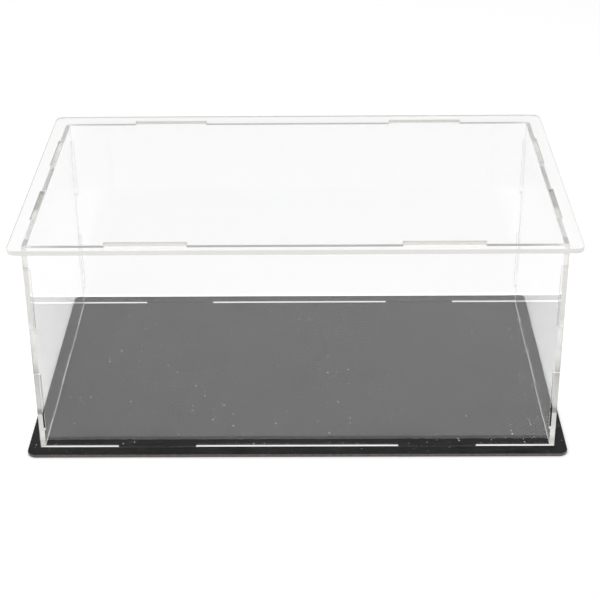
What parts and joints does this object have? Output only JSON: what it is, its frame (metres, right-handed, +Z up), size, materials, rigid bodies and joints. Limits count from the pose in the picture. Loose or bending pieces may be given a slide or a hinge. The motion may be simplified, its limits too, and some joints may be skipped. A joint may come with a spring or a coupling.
{
  "type": "display case",
  "caption": "Clear acrylic display case: walls finger-jointed at the corners and tabbed into a black base plate and a clear lift-off top plate, both with rounded corners.",
  "frame": {"origin": "under the middle of the base plate, on the surface that the case stands on", "axes": "+X to the right along the long walls, +Y from the front wall to the back wall, +Z up"},
  "size_m": [0.346, 0.218, 0.1471],
  "materials": {
    "clear_acrylic": "polished clear sheet with laser-cut edges",
    "black_acrylic": "satin black sheet with laser-cut edges"
  },
  "bodies": {
    "base": {"base_panel": "black_acrylic"},
    "walls": {"front_panel": "clear_acrylic", "back_panel": "clear_acrylic", "left_panel": "clear_acrylic", "right_panel": "clear_acrylic"},
    "top": {"top_panel": "clear_acrylic"}
  },
  "joints": [
    {"name": "cover_lift", "type": "slide", "parent": "base", "child": "walls", "axis": [0, 0, 1], "range_m": [0, 0.16]},
    {"name": "top_lift", "type": "slide", "parent": "walls", "child": "top", "axis": [0, 0, 1], "range_m": [0, 0.06]}
  ]
}
